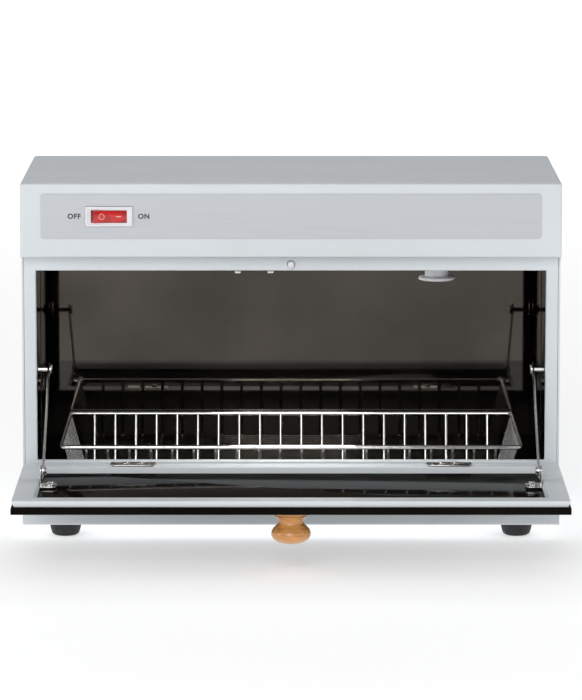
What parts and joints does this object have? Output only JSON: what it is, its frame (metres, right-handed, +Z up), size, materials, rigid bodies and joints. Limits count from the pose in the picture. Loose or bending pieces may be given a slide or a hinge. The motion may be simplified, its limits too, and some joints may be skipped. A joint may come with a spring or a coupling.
{
  "type": "uv sterilizer cabinet",
  "caption": "Countertop sheet-metal cabinet with a polished chamber, ultraviolet lamp, drop-down tinted glass door on slotted stays, wooden knob and wire basket.",
  "frame": {"origin": "on the surface it stands on, under the middle of the whole object with its door open", "axes": "+Z up, +Y from the door to the rear panel, +X to the right as seen from the front"},
  "size_m": [0.42, 0.361, 0.2805],
  "materials": {
    "painted_steel": "white powder coat",
    "polished_liner": "mirror-polished stainless sheet",
    "black_rubber": "matte",
    "label_foil": "satin silver foil",
    "lamp_glass": "clear quartz",
    "aluminium_cap": "satin",
    "white_plastic": "moulded, slightly glossy",
    "black_plastic": "moulded",
    "wire_insulation": "smooth insulation",
    "red_plastic": "translucent red, glossy",
    "tinted_glass": "dark smoked, polished",
    "turned_wood": "turned and lacquered",
    "ballast_steel": "lacquered laminations",
    "basket_wire": "bright plated wire",
    "chromed_steel": "bright plated"
  },
  "bodies": {
    "cabinet": {"ballast": "ballast_steel", "base_pan": "painted_steel", "bracket_screw_left": "chromed_steel", "bracket_screw_right": "chromed_steel", "cord_gland": "black_rubber", "door_surround": "painted_steel", "foot_front_left": "black_rubber", "foot_front_right": "black_rubber", "foot_rear_left": "black_rubber", "foot_rear_right": "black_rubber", "hinge_leaf_cabinet_left": "chromed_steel", "hinge_leaf_cabinet_right": "chromed_steel", "hinge_pin_left": "chromed_steel", "hinge_pin_right": "chromed_steel", "interlock_bracket": "chromed_steel", "interlock_switch": "black_plastic", "label_plate": "label_foil", "lamp_cap_left": "aluminium_cap", "lamp_cap_right": "aluminium_cap", "lamp_holder_left": "white_plastic", "lamp_holder_right": "white_plastic", "liner_back": "polished_liner", "liner_ceiling": "polished_liner", "liner_floor": "polished_liner", "liner_left": "polished_liner", "liner_right": "polished_liner", "outer_cover": "painted_steel", "rear_panel": "painted_steel", "starter": "white_plastic", "starter_holder": "white_plastic", "stay_wall_pin_left": "chromed_steel", "stay_wall_pin_right": "chromed_steel", "switch_housing": "white_plastic", "terminal_block": "white_plastic", "uv_lamp": "lamp_glass", "wire_lamp": "wire_insulation", "wire_mains": "wire_insulation", "wire_switch": "wire_insulation"},
    "door": {"door_frame": "painted_steel", "door_glass": "tinted_glass", "door_knob": "turned_wood", "hinge_leaf_door_left": "chromed_steel", "hinge_leaf_door_right": "chromed_steel", "hinge_screw_left_1": "chromed_steel", "hinge_screw_left_2": "chromed_steel", "hinge_screw_right_1": "chromed_steel", "hinge_screw_right_2": "chromed_steel", "knob_screw": "chromed_steel", "stay_bracket_left": "chromed_steel", "stay_bracket_right": "chromed_steel", "stay_screw_left_1": "chromed_steel", "stay_screw_left_2": "chromed_steel", "stay_screw_right_1": "chromed_steel", "stay_screw_right_2": "chromed_steel"},
    "stay_arm_left": {"stay_arm_left": "chromed_steel"},
    "stay_arm_right": {"stay_arm_right": "chromed_steel"},
    "rocker": {"switch_rocker": "red_plastic"},
    "plunger": {"interlock_plunger": "white_plastic"},
    "basket": {"basket": "basket_wire"}
  },
  "joints": [
    {"name": "door_hinge", "type": "hinge", "parent": "cabinet", "child": "door", "pos_m": [0, -0.0165, 0.0575], "axis": [-1, 0, 0], "range_deg": [0, 90]},
    {"name": "stay_left", "type": "hinge", "parent": "door", "child": "stay_arm_left", "pos_m": [-0.19, -0.09102, 0.066], "axis": [-1, 0, 0], "range_deg": [-45, 0]},
    {"name": "stay_right", "type": "hinge", "parent": "door", "child": "stay_arm_right", "pos_m": [0.19, -0.09102, 0.066], "axis": [-1, 0, 0], "range_deg": [-45, 0]},
    {"name": "switch_rock", "type": "hinge", "parent": "cabinet", "child": "rocker", "pos_m": [-0.141, -0.023, 0.2548], "axis": [0, 0, -1], "range_deg": [0, 16]},
    {"name": "interlock_press", "type": "slide", "parent": "cabinet", "child": "plunger", "axis": [0, 1, 0], "range_m": [0, 0.0045]},
    {"name": "basket_lift", "type": "slide", "parent": "cabinet", "child": "basket", "axis": [0, 0, 1], "range_m": [0, 0.045]}
  ],
  "couplings": [
    {"joint": "stay_left", "follows": "door_hinge", "ratio": -0.5},
    {"joint": "stay_right", "follows": "door_hinge", "ratio": -0.5},
    {"joint": "interlock_press", "follows": "door_hinge", "m_per_rad": 0.002801}
  ]
}
